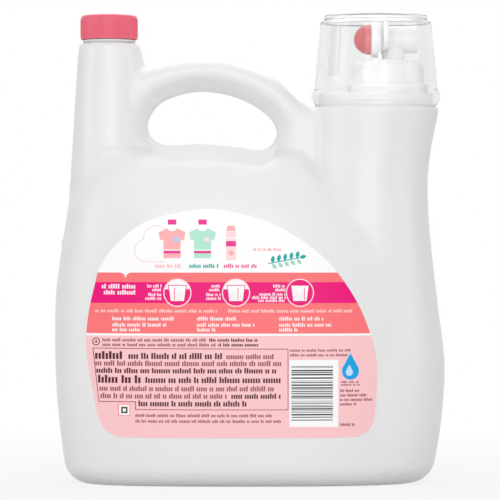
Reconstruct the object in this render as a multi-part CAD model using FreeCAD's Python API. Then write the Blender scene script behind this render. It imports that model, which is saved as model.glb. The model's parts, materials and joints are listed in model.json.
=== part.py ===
"""Large laundry detergent bottle with a carrying handle, a vent cap and a press tap under a measuring cup.

The bottle stands on its base, +Z up, with its back label towards -Y. The origin is at the middle of
the base. In use it is laid on its +X side: the tap, on the short neck at +X, is then at the bottom,
and the vent neck at -X is at the top. All sizes are in millimetres.
"""
import FreeCAD, Part
import math
import os

# Bottle, overall
WALL = 1.3                  # blown wall
HEEL_RADIUS = 12.0          # round between the base and the sides
PUSH_UP = 2.5               # how far the middle of the base is raised off the table
PUSH_UP_MARGIN = 22.0       # from the outside of the body to the raised middle
RING_POINTS = 24            # points round each body section
END_RINGS = 6               # sections through each rounded end
OVERSHOOT = 1.0             # how far a cutter reaches past the face that it opens

# Main body: half depth, squareness of its sections, and where its shoulder starts and ends
BODY_HALF_DEPTH = 60.0
BODY_SQUARENESS = 2.8
SHOULDER_START_Z = 140.0
BODY_TOP_Z = 206.0
BODY_TOP_HALF_DEPTH = 20.0
SHOULDER_ROUND = 2.2        # exponent of the shoulder's curve: 2 is a quarter ellipse, more is fuller

# Left column, which carries the vent neck
VENT_X = -87.4
VENT_COLUMN_TOP_Z = 271.9
VENT_COLUMN_RADIUS = 18.4
VENT_COLUMN_EDGE = 2.5

# Right column, which carries the tap and the measuring cup
CUP_X = 78.1
TAP_SHOULDER_Z = 232.2
TAP_SHOULDER_RADIUS = 39.4
TAP_SHOULDER_EDGE = 2.5
BOSS_RADIUS = 35.3
BOSS_FOOT_RADIUS = 35.9
BOSS_FOOT_HEIGHT = 2.6
BOSS_HEIGHT = 7.7

# Handle
HANDLE_HALF_DEPTH = 18.0
HANDLE_EDGE_RADIUS = 8.5
HANDLE_FOOT_Z = 186.0       # how far down its web reaches into the body
GRIP_LAND_HALF = 7.0        # half length of the straight part of the grip hole
GRIP_FLARE = 0.845          # how fast the grip hole widens towards its mouths
GRIP_LEDGE = 0.3            # the same along its lower side, which is a ledge on the shoulder
GRIP_MOUTH_HALF = 46.0      # from the middle to the end of the flare, outside the shoulder
LEDGE_TURN = (0.4, 0.85)    # how far down the hole's side faces where the ledge starts and is full

# Vent neck and its screw cap
VENT_NECK_RADIUS = 14.85
VENT_NECK_BORE_RADIUS = 12.6
VENT_NECK_TOP_Z = 286.1
VENT_BEAD_RADIUS = 16.4
VENT_BEAD_HEIGHT = 1.2
VENT_BEAD_LIFT = 0.5        # from the column's top to the bead
CAP_RADIUS = 17.8
CAP_BORE_RADIUS = 16.35
CAP_TOP_THICKNESS = 1.8
CAP_EDGE = 2.4
CAP_BEAD_GAP = 0.4
CAP_RIBS = 90
CAP_RIB_DEPTH = 0.3
CAP_RIB_END = 1.2           # plain band left under the ribs
LINER_THICKNESS = 1.0
LINER_RADIUS = 15.9

# Tap neck, and the collar that is screwed on it
TAP_X = 85.5
TAP_NECK_RADIUS = 17.5
TAP_NECK_BORE_RADIUS = 15.6
TAP_NECK_HEIGHT = 16.5
COLLAR_RADIUS = 22.2
COLLAR_HEIGHT = 20.6
COLLAR_EDGE = 4.0
COLLAR_TOP_THICKNESS = 1.8
COLLAR_SKIRT_RADIUS = 25.05
COLLAR_SKIRT_HEIGHT = 6.4
COLLAR_SKIRT_EDGE = 0.8
COLLAR_THREAD_GAP = 0.25
COLLAR_HOLE_GAP = 0.2
GASKET_THICKNESS = 1.0
GASKET_RADIUS = 17.4
GASKET_BORE_RADIUS = 15.0

# Tap body: a foot in the collar, a feed pipe, and a valve barrel along X with its finger wings
FOOT_THICKNESS = 1.3
FOOT_BOSS_RADIUS = 10.7
FOOT_BOSS_HEIGHT = 3.9
BARREL_Z = 274.0
BARREL_RADIUS = 8.45
BARREL_END_X = 103.6
FEED_X = 89.0
FEED_RADIUS = 6.9
FEED_BORE_RADIUS = 4.2
CHAMBER_RADIUS = 6.2
CHAMBER_START_X = 84.5
SEAT_X = 97.9               # the seat's outlet side
SEAT_THICKNESS = 1.8
SEAT_BORE_RADIUS = 4.6
OUTLET_RADIUS = 6.8
HEAD_X = 79.1
HEAD_THICKNESS = 1.9
HEAD_RADIUS = 11.0
HEAD_RECESS = 1.25
HEAD_FOOT_HALF_WIDTH = 7.0
WAIST_RADIUS = 9.0
WING_X = 82.3
WING_THICKNESS = 2.8
WING_HALF_SPAN = 24.0
WING_HALF_HEIGHT = 8.85
WING_Z = 275.7
WING_END_RADIUS = 8.0

# Press button, its ring, the valve stem and its seal
BUTTON_APEX_X = 64.4
BUTTON_RADIUS = 9.5
BUTTON_WALL = 1.3
BUTTON_CROWN = 2.2          # thickness at the middle of the dome
BUTTON_STRAIGHT = 2.2       # straight part of the dome's side, next to the ring
BUTTON_FLANGE_RADIUS = 10.1
BUTTON_FLANGE_THICKNESS = 1.0
BUTTON_TRAVEL = 3.0
BUTTON_GAP = 0.15
BUTTON_RIM_GAP = 0.1        # from the rim to the ring's lip
CROWN_POINTS = 12           # pieces of the dome's curve
RING_X = 75.1
RING_LIP = 1.0
RING_RADIUS = 11.05
STEM_RADIUS = 1.9
STEM_GUIDE_GAP = 0.08
STEM_PAD_RADIUS = 3.0
STEM_PAD_THICKNESS = 1.2
STEM_SPIGOT_RADIUS = 1.1
STEM_RIVET_RADIUS = 1.8
STEM_RIVET_THICKNESS = 0.8
SEAL_RADIUS = 6.2
SEAL_THICKNESS = 1.6

# Measuring cup, upside down over the tap
CUP_WALL = 1.3
CUP_TOP_Z = 288.7
CUP_FOOT_RADIUS = 32.1
CUP_FOOT_HEIGHT = 3.5
CUP_FOOT_WALL = 1.3
CUP_FOOT_RECESS = 0.7       # from the foot's rim to the cup's closed end
CUP_TOP_RADIUS = 34.45
CUP_LOW_RADIUS = 38.2
CUP_LOW_Z = 242.4
CUP_BEAD_RADIUS = 40.0
CUP_BEAD_Z = 239.6
CUP_RIM_RADIUS = 37.4
CUP_RIM_GAP = 0.3           # from the rim to the bottle's shoulder
CUP_BOSS_GAP = 0.3
CUP_COVE_GAP = 0.7          # from the boss's foot to where the cup's inside widens
CUP_EDGE = 0.5              # bevel round the foot's rim
CUP_STEP_EDGE = 0.7         # bevel round the closed end

# Labels: thickness, and one outline for both faces, as points (x, z) round a smooth closed curve
LABEL_THICKNESS = 0.25
LABEL_OUTLINE = [
    (-28.3, 168.2), (-8.0, 165.8), (7.8, 161.6), (21.1, 155.5), (39.1, 143.5), (53.0, 129.7), (65.0, 111.6),
    (72.2, 94.7), (76.2, 80.3), (76.9, 67.1), (76.2, 50.2), (74.8, 41.2), (72.4, 35.2), (66.5, 31.3),
    (57.0, 30.3), (-7.8, 30.1), (-72.0, 30.3), (-81.0, 31.3), (-87.4, 35.2), (-90.9, 41.8), (-92.6, 49.5),
    (-97.2, 74.3), (-98.5, 88.5), (-97.0, 105.0), (-93.6, 121.0), (-89.6, 134.5), (-78.3, 149.5),
    (-60.2, 161.6),
]

# Outline of the grip hole, as points (x, z) of a closed smooth curve
GRIP_OUTLINE = [
    (-27.8, 241.6), (-8.2, 238.0), (8.2, 229.0), (16.1, 219.4), (15.0, 211.0), (7.5, 205.4), (-8.2, 207.1),
    (-29.3, 209.0), (-49.6, 208.3), (-59.4, 211.6), (-63.5, 220.9), (-57.1, 233.1), (-43.4, 239.6),
]

# Top of the handle, as points (x, z) of a smooth curve from the left column to the right one
HANDLE_TOP = [
    (-80.0, 246.5), (-71.0, 251.5), (-60.5, 256.0), (-47.0, 259.8), (-31.6, 261.3), (-13.0, 260.0),
    (3.0, 255.0), (19.5, 246.0), (31.0, 235.2), (40.0, 230.4), (52.0, 227.0),
]

# Body sections as (z, left x, right x), as far as the shoulder's start
BODY_SECTIONS = [(0.0, -112.6, 104.0), (26.0, -116.6, 107.5), (56.0, -119.6, 109.0), (88.0, -120.6, 108.0)]
BODY_SHOULDER = [(120.0, -119.8, 101.0), (SHOULDER_START_Z, -117.2, 91.0), (158.0, -114.4, 77.0),
                 (174.0, -111.0, 59.0), (188.0, -102.0, 46.0), (197.0, -93.0, 38.0), (202.0, -86.0, 33.0),
                 (BODY_TOP_Z, -78.0, 27.0)]

# Left column sections as (z, left x, right x, half depth), up to its top
VENT_COLUMN = [(150.0, -113.5, -52.0, 44.0), (170.0, -112.4, -56.0, 38.0), (186.0, -111.5, -60.0, 31.0),
               (202.0, -110.5, -62.6, 26.2), (220.0, -109.4, -64.0, 23.4), (240.0, -108.3, -64.4, 21.6),
               (258.0, -107.1, -65.4, 20.2)]

# Right column sections as (z, left x, right x, half depth), from the base to its shoulder
TAP_COLUMN = [(0.0, 34.0, 111.8, 47.0), (22.0, 32.0, 116.2, 49.5), (46.0, 30.0, 119.4, 50.0),
              (74.0, 30.0, 120.6, 48.5), (106.0, 32.0, 116.9, 45.0), (138.0, 34.0, 113.2, 42.0),
              (164.0, 36.0, 110.9, 39.9), (186.0, 37.6, 110.2, 38.6), (205.0, 38.4, 112.1, 38.2),
              (219.0, 38.4, 114.7, 38.7)]


def vec(x, y, z):
    return FreeCAD.Vector(x, y, z)


def cylinder(radius, x, z_low, z_high):
    """Upright cylinder about the line at this x."""
    return Part.makeCylinder(radius, z_high - z_low, vec(x, 0, z_low))


def rod(radius, x_low, x_high, z=BARREL_Z):
    """Cylinder along X at the height of the valve barrel."""
    return Part.makeCylinder(radius, x_high - x_low, vec(x_low, 0, z), vec(1, 0, 0))


def turned(points, x):
    """Solid of revolution about the upright line at this x, from (radius, z) points of its section."""
    wire = Part.makePolygon([vec(x + r, 0, z) for r, z in points + points[:1]])
    return Part.Face(wire).revolve(vec(x, 0, 0), vec(0, 0, 1), 360)


def edges_at(shape, z, tolerance=0.05):
    """Edges that lie wholly at this height."""
    boxes = [(edge, edge.BoundBox) for edge in shape.Edges]
    return [edge for edge, box in boxes if max(abs(box.ZMin - z), abs(box.ZMax - z)) < tolerance]


def body_ring(z, left, right, half_depth, squareness=2.0):
    """Closed smooth section of the body at one height: a squared ellipse."""
    middle, half_width = (left + right) / 2, (right - left) / 2
    power = 2.0 / squareness
    points = []
    for k in range(RING_POINTS):
        turn = 2 * math.pi * k / RING_POINTS
        c, s = math.cos(turn), math.sin(turn)
        x = middle + half_width * math.copysign(abs(c) ** power, c)
        y = half_depth * math.copysign(abs(s) ** power, s)
        points.append(vec(x, y, z))
    curve = Part.BSplineCurve()
    curve.interpolate(points, PeriodicFlag=True)
    return Part.Wire(curve.toShape())


def smooth_loop(points, y):
    """Closed smooth curve through (x, z) points in the plane at this y."""
    curve = Part.BSplineCurve()
    curve.interpolate([vec(x, y, z) for x, z in points], PeriodicFlag=True)
    return curve


def grip_loop(grow, y):
    """The grip hole's outline at one depth: it flares towards its mouths, and less on the ledge below."""
    curve = smooth_loop(GRIP_OUTLINE, 0)
    start, full = LEDGE_TURN
    moved = []
    for x, z in GRIP_OUTLINE:
        along = curve.tangent(curve.parameter(vec(x, 0, z)))[0]
        ledge = min(1.0, max(0.0, (-along.x - start) / (full - start)))
        flare = GRIP_FLARE + (GRIP_LEDGE - GRIP_FLARE) * ledge
        distance = grow + flare * (abs(y) - GRIP_LAND_HALF)
        moved.append((x - along.z * distance, z + along.x * distance))
    return Part.Wire(smooth_loop(moved, y).toShape())


def shoulder_half_depth(z):
    """Half depth of the main body: full up to the shoulder, then curving in to the top."""
    if z <= SHOULDER_START_Z:
        return BODY_HALF_DEPTH
    share = (z - SHOULDER_START_Z) / (BODY_TOP_Z - SHOULDER_START_Z)
    drop = 1 - math.sqrt(max(0.0, 1 - share ** SHOULDER_ROUND))
    return BODY_HALF_DEPTH - (BODY_HALF_DEPTH - BODY_TOP_HALF_DEPTH) * drop


def ring_of(section, inset):
    z, left, right, half_depth, squareness = section
    return body_ring(z, left + inset, right - inset, half_depth - inset, squareness)


def between(one, other, z):
    """Section at a height between two others."""
    share = (z - one[0]) / (other[0] - one[0])
    return tuple(a + (b - a) * share for a, b in zip(one, other))


def rounded_end(end, inner, radius, inset):
    """The rounded rim of a form's end, from the flat end to where the sides are full."""
    up = 1 if inner[0] > end[0] else -1
    rings = []
    for k in range(END_RINGS):
        turn = math.pi / 2 * k / (END_RINGS - 1)
        section = between(end, inner, end[0] + up * radius * (1 - math.sin(turn)))
        rings.append(ring_of(section, inset + radius * (1 - math.cos(turn))))
    return Part.makeLoft(rings, True, False)


def lofted(sections, inset, foot_radius=0.0, top_radius=0.0):
    """Smooth solid through sections (z, left x, right x, half depth, squareness), with rounded ends."""
    sections = list(sections)
    ends = []
    if foot_radius:
        foot = between(sections[0], sections[1], sections[0][0] + inset)
        ends.append(rounded_end(foot, sections[1], foot_radius - inset, inset))
        sections[0] = between(sections[0], sections[1], sections[0][0] + foot_radius)
    if top_radius:
        top = between(sections[-1], sections[-2], sections[-1][0] - inset)
        ends.append(rounded_end(top, sections[-2], top_radius - inset / 2, inset))
        sections[-1] = between(sections[-1], sections[-2], sections[-1][0] - top_radius - inset / 2)
    loft = Part.makeLoft([ring_of(section, inset) for section in sections], True, False)
    return loft.fuse(ends) if ends else loft


def body_loft(inset):
    """The panel body, with its shoulder, made smaller all round by the inset."""
    sections = [(z, left, right, shoulder_half_depth(z), BODY_SQUARENESS)
                for z, left, right in BODY_SECTIONS + BODY_SHOULDER]
    top = sections[-1]
    sections[-1] = (top[0] - inset,) + top[1:]
    return lofted(sections, inset, foot_radius=HEEL_RADIUS)


def column_sections(table, x, radius, top_z):
    """Sections of a column, from its table to the round top that its neck stands on."""
    top = (top_z, x - radius, x + radius, radius)
    return [section + (2.0,) for section in table + [top]]


def vent_column(inset):
    sections = column_sections(VENT_COLUMN, VENT_X, VENT_COLUMN_RADIUS, VENT_COLUMN_TOP_Z)
    return lofted(sections, inset, top_radius=VENT_COLUMN_EDGE)


def tap_column(inset):
    sections = column_sections(TAP_COLUMN, CUP_X, TAP_SHOULDER_RADIUS, TAP_SHOULDER_Z)
    return lofted(sections, inset, foot_radius=HEEL_RADIUS, top_radius=TAP_SHOULDER_EDGE)


def handle_slab(inset):
    """The flat web that the handle is cut from, with its long edges rounded."""
    arch = [(x, z - inset) for x, z in HANDLE_TOP]
    top = Part.BSplineCurve()
    half_depth = HANDLE_HALF_DEPTH - inset
    top.interpolate([vec(x, -half_depth, z) for x, z in arch])
    (start_x, start_z), (end_x, end_z) = arch[0], arch[-1]
    sides = Part.makePolygon([vec(end_x, -half_depth, end_z), vec(end_x, -half_depth, HANDLE_FOOT_Z),
                              vec(start_x, -half_depth, HANDLE_FOOT_Z), vec(start_x, -half_depth, start_z)])
    face = Part.Face(Part.Wire([top.toShape()] + sides.Edges))
    slab = face.extrude(vec(0, 2 * half_depth, 0))
    arch_edges = [edge for edge in slab.Edges if isinstance(edge.Curve, Part.BSplineCurve)]
    return slab.makeFillet(HANDLE_EDGE_RADIUS - inset, arch_edges)


def grip_cutter(grow):
    """The grip hole, which flares towards both faces, made larger all round by a distance."""
    cutter = Part.Face(grip_loop(grow, -GRIP_LAND_HALF)).extrude(vec(0, 2 * GRIP_LAND_HALF, 0))
    for side in (-1, 1):
        loops = [grip_loop(grow, side * GRIP_LAND_HALF), grip_loop(grow, side * GRIP_MOUTH_HALF)]
        cutter = cutter.fuse(Part.makeLoft(loops, True, True))
    return cutter


def bottle_form(inset):
    """The closed outer form of the bottle without its necks, or its cavity when inset by the wall."""
    solid = body_loft(inset).fuse([tap_column(inset), vent_column(inset), handle_slab(inset)])
    return solid.cut(grip_cutter(inset))


def push_up_block(grow):
    """The raised middle of the base."""
    z, left, right = BODY_SECTIONS[0]
    inward = PUSH_UP_MARGIN - grow
    low = body_ring(z - OVERSHOOT, left + inward, right - inward, BODY_HALF_DEPTH - inward, BODY_SQUARENESS)
    return Part.Face(low).extrude(vec(0, 0, OVERSHOOT + PUSH_UP + grow))


def make_bottle():
    outer = bottle_form(0.0).cut(push_up_block(0.0))
    boss_top = TAP_SHOULDER_Z + BOSS_HEIGHT
    neck_top = boss_top + TAP_NECK_HEIGHT
    bead_low = VENT_COLUMN_TOP_Z + VENT_BEAD_LIFT
    outer = outer.fuse([
        cylinder(BOSS_RADIUS, CUP_X, TAP_SHOULDER_Z - WALL, boss_top),
        cylinder(BOSS_FOOT_RADIUS, CUP_X, TAP_SHOULDER_Z - WALL, TAP_SHOULDER_Z + BOSS_FOOT_HEIGHT),
        cylinder(TAP_NECK_RADIUS, TAP_X, boss_top - WALL, neck_top),
        cylinder(VENT_NECK_RADIUS, VENT_X, VENT_COLUMN_TOP_Z - WALL, VENT_NECK_TOP_Z),
        cylinder(VENT_BEAD_RADIUS, VENT_X, bead_low, bead_low + VENT_BEAD_HEIGHT),
    ])
    cavity = bottle_form(WALL).cut(push_up_block(WALL))
    cavity = cavity.fuse([
        cylinder(BOSS_RADIUS - WALL, CUP_X, TAP_SHOULDER_Z - 3 * WALL, boss_top - WALL),
        cylinder(TAP_NECK_BORE_RADIUS, TAP_X, TAP_SHOULDER_Z - WALL, neck_top + OVERSHOOT),
        cylinder(VENT_NECK_BORE_RADIUS, VENT_X, VENT_COLUMN_TOP_Z - 3 * WALL, VENT_NECK_TOP_Z + OVERSHOOT),
    ])
    return outer.cut(cavity)


def make_vent_cap():
    """Screw cap with fine upright ribs, of one moulding."""
    bottom = VENT_COLUMN_TOP_Z + VENT_BEAD_LIFT + VENT_BEAD_HEIGHT + CAP_BEAD_GAP
    bore_top = VENT_NECK_TOP_Z + LINER_THICKNESS
    top = bore_top + CAP_TOP_THICKNESS
    corners = []
    for k in range(2 * CAP_RIBS):
        radius = CAP_RADIUS if k % 2 else CAP_RADIUS - CAP_RIB_DEPTH
        turn = math.pi * k / CAP_RIBS
        corners.append(vec(VENT_X + radius * math.cos(turn), radius * math.sin(turn), bottom + CAP_RIB_END))
    ribbed = Part.Face(Part.makePolygon(corners + corners[:1])).extrude(vec(0, 0, top - bottom - CAP_RIB_END))
    plain = cylinder(CAP_RADIUS, VENT_X, bottom, bottom + CAP_RIB_END)
    envelope = cylinder(CAP_RADIUS, VENT_X, bottom, top)
    envelope = envelope.makeFillet(CAP_EDGE, edges_at(envelope, top))
    solid = ribbed.fuse(plain).common(envelope)
    return solid.cut(cylinder(CAP_BORE_RADIUS, VENT_X, bottom - OVERSHOOT, bore_top))


def make_cap_liner():
    return cylinder(LINER_RADIUS, VENT_X, VENT_NECK_TOP_Z, VENT_NECK_TOP_Z + LINER_THICKNESS)


def collar_foot_z():
    return TAP_SHOULDER_Z + BOSS_HEIGHT


def tap_neck_top_z():
    return collar_foot_z() + TAP_NECK_HEIGHT


def foot_z():
    """Underside of the tap body's foot, on the gasket."""
    return tap_neck_top_z() + GASKET_THICKNESS


def make_tap_collar():
    """Screw collar that clamps the tap body's foot on the tap neck."""
    foot = collar_foot_z()
    top = foot + COLLAR_HEIGHT
    skirt = cylinder(COLLAR_SKIRT_RADIUS, TAP_X, foot, foot + COLLAR_SKIRT_HEIGHT)
    skirt = skirt.makeFillet(COLLAR_SKIRT_EDGE, edges_at(skirt, foot + COLLAR_SKIRT_HEIGHT))
    hub = cylinder(COLLAR_RADIUS, TAP_X, foot, top)
    hub = hub.makeFillet(COLLAR_EDGE, edges_at(hub, top))
    neck_room = TAP_NECK_RADIUS + COLLAR_THREAD_GAP
    thread = cylinder(neck_room, TAP_X, foot - OVERSHOOT, top - COLLAR_TOP_THICKNESS)
    hole = cylinder(FOOT_BOSS_RADIUS + COLLAR_HOLE_GAP, TAP_X, foot, top + OVERSHOOT)
    return skirt.fuse(hub).cut(thread.fuse(hole))


def make_tap_gasket():
    ring = cylinder(GASKET_RADIUS, TAP_X, tap_neck_top_z(), foot_z())
    return ring.cut(cylinder(GASKET_BORE_RADIUS, TAP_X, tap_neck_top_z() - OVERSHOOT, foot_z() + OVERSHOOT))


def wing_plate():
    """The plate that two fingers hold while the thumb presses the button."""
    plate = Part.makeBox(WING_THICKNESS, 2 * WING_HALF_SPAN, 2 * WING_HALF_HEIGHT,
                         vec(WING_X, -WING_HALF_SPAN, WING_Z - WING_HALF_HEIGHT))
    ends = [e for e in plate.Edges if abs(e.BoundBox.XLength - WING_THICKNESS) < 0.01]
    return plate.makeFillet(WING_END_RADIUS, ends)


def make_tap_body():
    """Foot, feed pipe, valve barrel and finger wings, of one moulding."""
    low = foot_z()
    foot_top = low + FOOT_THICKNESS
    head_end = HEAD_X + HEAD_THICKNESS
    head_foot = Part.makeBox(HEAD_THICKNESS, 2 * HEAD_FOOT_HALF_WIDTH, BARREL_Z - foot_top,
                             vec(HEAD_X, -HEAD_FOOT_HALF_WIDTH, foot_top))
    solid = cylinder(GASKET_RADIUS, TAP_X, low, foot_top).fuse([
        cylinder(FOOT_BOSS_RADIUS, TAP_X, foot_top, low + FOOT_BOSS_HEIGHT),
        cylinder(FEED_RADIUS, FEED_X, foot_top, BARREL_Z),
        rod(BARREL_RADIUS, WING_X, BARREL_END_X),
        rod(WAIST_RADIUS, head_end, WING_X),
        rod(HEAD_RADIUS, HEAD_X, head_end),
        head_foot,
        wing_plate(),
    ])
    recess_radius = BUTTON_FLANGE_RADIUS + BUTTON_GAP
    hollow = rod(CHAMBER_RADIUS, CHAMBER_START_X, SEAT_X - SEAT_THICKNESS).fuse([
        rod(SEAT_BORE_RADIUS, SEAT_X - SEAT_THICKNESS - OVERSHOOT, SEAT_X + OVERSHOOT),
        rod(OUTLET_RADIUS, SEAT_X, BARREL_END_X + OVERSHOOT),
        rod(STEM_RADIUS + STEM_GUIDE_GAP, HEAD_X - OVERSHOOT, CHAMBER_START_X + OVERSHOOT),
        rod(recess_radius, HEAD_X - OVERSHOOT, HEAD_X + HEAD_RECESS),
        cylinder(FEED_BORE_RADIUS, FEED_X, low - OVERSHOOT, BARREL_Z),
    ])
    return solid.cut(hollow)


def make_button_ring():
    """Ring that holds the rim of the soft button on the head of the barrel."""
    lip_bore = BUTTON_RADIUS + BUTTON_GAP
    bore = BUTTON_FLANGE_RADIUS + BUTTON_GAP
    ring = rod(RING_RADIUS, RING_X, HEAD_X)
    lip_cut = rod(lip_bore, RING_X - OVERSHOOT, HEAD_X)
    return ring.cut(lip_cut.fuse(rod(bore, RING_X + RING_LIP, HEAD_X + OVERSHOOT)))


def dome_points(apex, side_end, radius):
    """Section of a dome as (x, radius) points: a quarter ellipse and a straight side."""
    depth = side_end - BUTTON_STRAIGHT - apex
    points = []
    for k in range(CROWN_POINTS + 1):
        turn = math.pi / 2 * k / CROWN_POINTS
        points.append((apex + depth * (1 - math.cos(turn)), radius * math.sin(turn)))
    return points


def dome(apex, side_end, radius):
    """Solid dome along the valve's axis with a smooth crown."""
    curve = Part.BSplineCurve()
    crown = [vec(x, 0, BARREL_Z + r) for x, r in dome_points(apex, side_end, radius)]
    curve.interpolate(crown, InitialTangent=vec(0, 0, 1), FinalTangent=vec(1, 0, 0))
    corners = [crown[-1], vec(side_end, 0, BARREL_Z + radius), vec(side_end, 0, BARREL_Z), crown[0]]
    rest = Part.makePolygon(corners)
    face = Part.Face(Part.Wire([curve.toShape()] + rest.Edges))
    return face.revolve(vec(0, 0, BARREL_Z), vec(1, 0, 0), 360)


def make_tap_button():
    """Soft press button: a hollow dome with a rim under the ring's lip."""
    flange_x = RING_X + RING_LIP + BUTTON_RIM_GAP
    end = flange_x + BUTTON_FLANGE_THICKNESS
    outer = dome(BUTTON_APEX_X, end, BUTTON_RADIUS).fuse(rod(BUTTON_FLANGE_RADIUS, flange_x, end))
    pad_x = BUTTON_APEX_X + BUTTON_CROWN
    inner = dome(BUTTON_APEX_X + BUTTON_WALL, end + OVERSHOOT, BUTTON_RADIUS - BUTTON_WALL)
    inner = inner.cut(rod(BUTTON_RADIUS, BUTTON_APEX_X, pad_x))
    return outer.cut(inner)


def make_valve_stem():
    """Stem from the button's crown, through the guide and the seat, to the seal."""
    start = BUTTON_APEX_X + BUTTON_CROWN
    seal_end = SEAT_X + SEAL_THICKNESS
    return rod(STEM_PAD_RADIUS, start, start + STEM_PAD_THICKNESS).fuse([
        rod(STEM_RADIUS, start, SEAT_X),
        rod(STEM_SPIGOT_RADIUS, SEAT_X, seal_end),
        rod(STEM_RIVET_RADIUS, seal_end, seal_end + STEM_RIVET_THICKNESS),
    ])


def make_valve_seal():
    """Disc that closes the seat from its outlet side."""
    seal = rod(SEAL_RADIUS, SEAT_X, SEAT_X + SEAL_THICKNESS)
    return seal.cut(rod(STEM_SPIGOT_RADIUS, SEAT_X - OVERSHOOT, SEAT_X + SEAL_THICKNESS + OVERSHOOT))


def make_measuring_cup():
    """Clear measuring cup, which covers the tap and sits round the boss."""
    step_z = CUP_TOP_Z - CUP_FOOT_HEIGHT
    end_z = CUP_TOP_Z - CUP_FOOT_RECESS
    rim_z = TAP_SHOULDER_Z + CUP_RIM_GAP
    rim_bore = BOSS_FOOT_RADIUS + CUP_BOSS_GAP
    cove_z = TAP_SHOULDER_Z + BOSS_FOOT_HEIGHT + CUP_COVE_GAP
    foot_bore = CUP_FOOT_RADIUS - CUP_FOOT_WALL
    outer = [
        (0, end_z), (foot_bore, end_z), (foot_bore, CUP_TOP_Z),
        (CUP_FOOT_RADIUS - CUP_EDGE, CUP_TOP_Z), (CUP_FOOT_RADIUS, CUP_TOP_Z - CUP_EDGE),
        (CUP_FOOT_RADIUS, step_z), (CUP_TOP_RADIUS - CUP_STEP_EDGE, step_z),
        (CUP_TOP_RADIUS, step_z - CUP_STEP_EDGE), (CUP_LOW_RADIUS, CUP_LOW_Z),
        (CUP_BEAD_RADIUS, CUP_BEAD_Z + CUP_EDGE), (CUP_BEAD_RADIUS, CUP_BEAD_Z - CUP_EDGE),
        (CUP_RIM_RADIUS, rim_z),
    ]
    low_bore, top_bore = CUP_LOW_RADIUS - CUP_WALL, CUP_TOP_RADIUS - CUP_WALL
    ceiling_z = step_z - CUP_WALL + CUP_STEP_EDGE
    inner = [
        (rim_bore, rim_z), (rim_bore, cove_z), (low_bore, CUP_LOW_Z - CUP_EDGE),
        (top_bore, ceiling_z - CUP_STEP_EDGE), (top_bore - CUP_STEP_EDGE, ceiling_z),
        (foot_bore, ceiling_z), (foot_bore, end_z - CUP_WALL - CUP_EDGE),
        (foot_bore - CUP_EDGE, end_z - CUP_WALL), (0, end_z - CUP_WALL),
    ]
    return turned(outer + inner, CUP_X)


def make_label(side):
    """Label on one face of the body, its back on the bottle: side -1 is the back label."""
    outline = Part.Face(Part.Wire(smooth_loop(LABEL_OUTLINE, 0).toShape()))
    prism = outline.extrude(vec(0, side * 2 * BODY_HALF_DEPTH, 0))
    skin = max(body_loft(0.0).Faces, key=lambda face: face.Area)
    patch = skin.common(prism).Faces[0]
    return patch.makeOffsetShape(LABEL_THICKNESS, 0.001, fill=True)


def main():
    parts = {
        "bottle": make_bottle(),
        "back_label": make_label(-1),
        "front_label": make_label(1),
        "vent_cap": make_vent_cap(),
        "cap_liner": make_cap_liner(),
        "tap_collar": make_tap_collar(),
        "tap_gasket": make_tap_gasket(),
        "tap_body": make_tap_body(),
        "button_ring": make_button_ring(),
        "tap_button": make_tap_button(),
        "valve_stem": make_valve_stem(),
        "valve_seal": make_valve_seal(),
        "measuring_cup": make_measuring_cup(),
    }
    os.makedirs("parts", exist_ok=True)
    for name, shape in parts.items():
        shape.exportStep(f"parts/{name}.step")
        print(name, len(shape.Solids), "solid,", round(shape.Volume / 1000, 2), "cm3")


main()
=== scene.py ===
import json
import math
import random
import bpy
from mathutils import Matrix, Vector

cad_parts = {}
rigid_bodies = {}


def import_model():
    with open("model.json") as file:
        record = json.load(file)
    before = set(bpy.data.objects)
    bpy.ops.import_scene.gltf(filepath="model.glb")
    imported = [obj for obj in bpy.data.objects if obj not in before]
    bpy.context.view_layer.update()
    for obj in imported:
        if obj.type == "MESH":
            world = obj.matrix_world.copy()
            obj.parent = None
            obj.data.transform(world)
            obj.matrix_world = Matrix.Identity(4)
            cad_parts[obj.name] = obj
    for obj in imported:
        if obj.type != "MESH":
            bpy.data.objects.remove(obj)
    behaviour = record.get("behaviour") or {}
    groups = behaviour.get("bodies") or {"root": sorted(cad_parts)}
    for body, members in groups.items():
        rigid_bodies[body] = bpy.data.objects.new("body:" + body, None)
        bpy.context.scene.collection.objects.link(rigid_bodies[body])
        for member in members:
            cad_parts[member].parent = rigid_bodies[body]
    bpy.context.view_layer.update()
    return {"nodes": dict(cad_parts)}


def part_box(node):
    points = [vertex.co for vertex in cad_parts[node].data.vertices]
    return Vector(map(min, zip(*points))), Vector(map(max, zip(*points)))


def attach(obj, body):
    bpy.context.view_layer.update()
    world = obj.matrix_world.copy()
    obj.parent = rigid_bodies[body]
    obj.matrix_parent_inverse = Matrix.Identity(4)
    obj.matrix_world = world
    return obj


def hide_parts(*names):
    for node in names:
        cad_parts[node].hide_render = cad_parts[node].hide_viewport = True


bl_info = {
    "name": "Detergent Bottle",
    "version": (1, 0, 0),
    "blender": (4, 5, 0),
    "location": "View3D > Sidebar > Bottle",
    "description": "Dresses a large detergent bottle with its label, vent cap, press tap and measuring cup",
    "category": "Object",
}

import bpy
import numpy as np
import openvdb
from bpy.props import FloatProperty, FloatVectorProperty, IntProperty, PointerProperty
from mathutils import Vector
from mathutils.geometry import delaunay_2d_cdt

for leftover in list(bpy.data.objects):
    bpy.data.objects.remove(leftover)
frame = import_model()
MM = 0.001

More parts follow.
